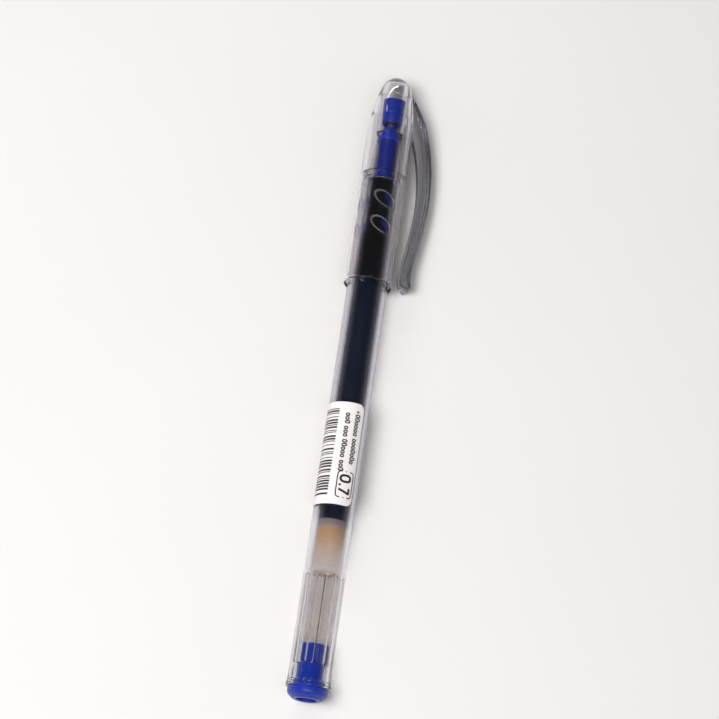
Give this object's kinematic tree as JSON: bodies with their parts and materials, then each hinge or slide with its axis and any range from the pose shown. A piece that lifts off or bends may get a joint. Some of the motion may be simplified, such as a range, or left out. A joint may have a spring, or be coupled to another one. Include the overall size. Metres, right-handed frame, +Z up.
{
  "type": "gel pen",
  "caption": "Capped stick gel pen with a clear barrel, an ink tube with a grease follower, a blue tail plug and tip holder, a paper label and a clear clip cap.",
  "frame": {"origin": "centre of the recess's mouth in the tail plug's end face", "axes": "+X along the pen's axis to the tip and the cap's apex; +Z up as the pen lies on its side; the clip is on the -Y side, 18 degrees below level"},
  "size_m": [0.1489, 0.0172, 0.011],
  "materials": {
    "clear_barrel": "clear moulded polystyrene, polished",
    "clear_cap": "clear moulded polystyrene, polished",
    "tube_plastic": "translucent polypropylene tube",
    "blue_plastic": "moulded polypropylene, semi-gloss",
    "ink": "dark blue-black gel, wet",
    "follower_grease": "pale amber grease",
    "tip_steel": "turned stainless steel",
    "ball_carbide": "polished tungsten carbide",
    "label_paper": "coated paper label",
    "seal_rubber": "soft moulded rubber"
  },
  "bodies": {
    "pen_body": {"barrel": "clear_barrel", "tail_plug": "blue_plastic", "refill_tube": "tube_plastic", "gel_ink": "ink", "tip_holder": "blue_plastic", "tip_cone": "tip_steel", "label": "label_paper"},
    "follower": {"ink_follower": "follower_grease"},
    "ball": {"writing_ball": "ball_carbide"},
    "cap": {"cap_shell": "clear_cap", "inner_cap": "blue_plastic", "seal_pad": "seal_rubber"},
    "clip": {"cap_clip": "clear_cap"}
  },
  "joints": [
    {"name": "cap_slide", "type": "slide", "parent": "pen_body", "child": "cap", "axis": [1, 0, 0], "range_m": [0, 0.05]},
    {"name": "clip_flex", "type": "hinge", "parent": "cap", "child": "clip", "pos_m": [0.1345, -0.00937, -0.00304], "axis": [0, -0.309, 0.9511], "range_deg": [0, 3.5], "stiffness_Nm_per_rad": 1.8},
    {"name": "follower_slide", "type": "slide", "parent": "pen_body", "child": "follower", "axis": [1, 0, 0], "range_m": [0, 0.0663], "deforming": ["gel_ink"]},
    {"name": "ball_roll", "type": "hinge", "parent": "pen_body", "child": "ball", "pos_m": [0.13796, 0, 0], "axis": [0, 1, 0], "continuous": true}
  ]
}
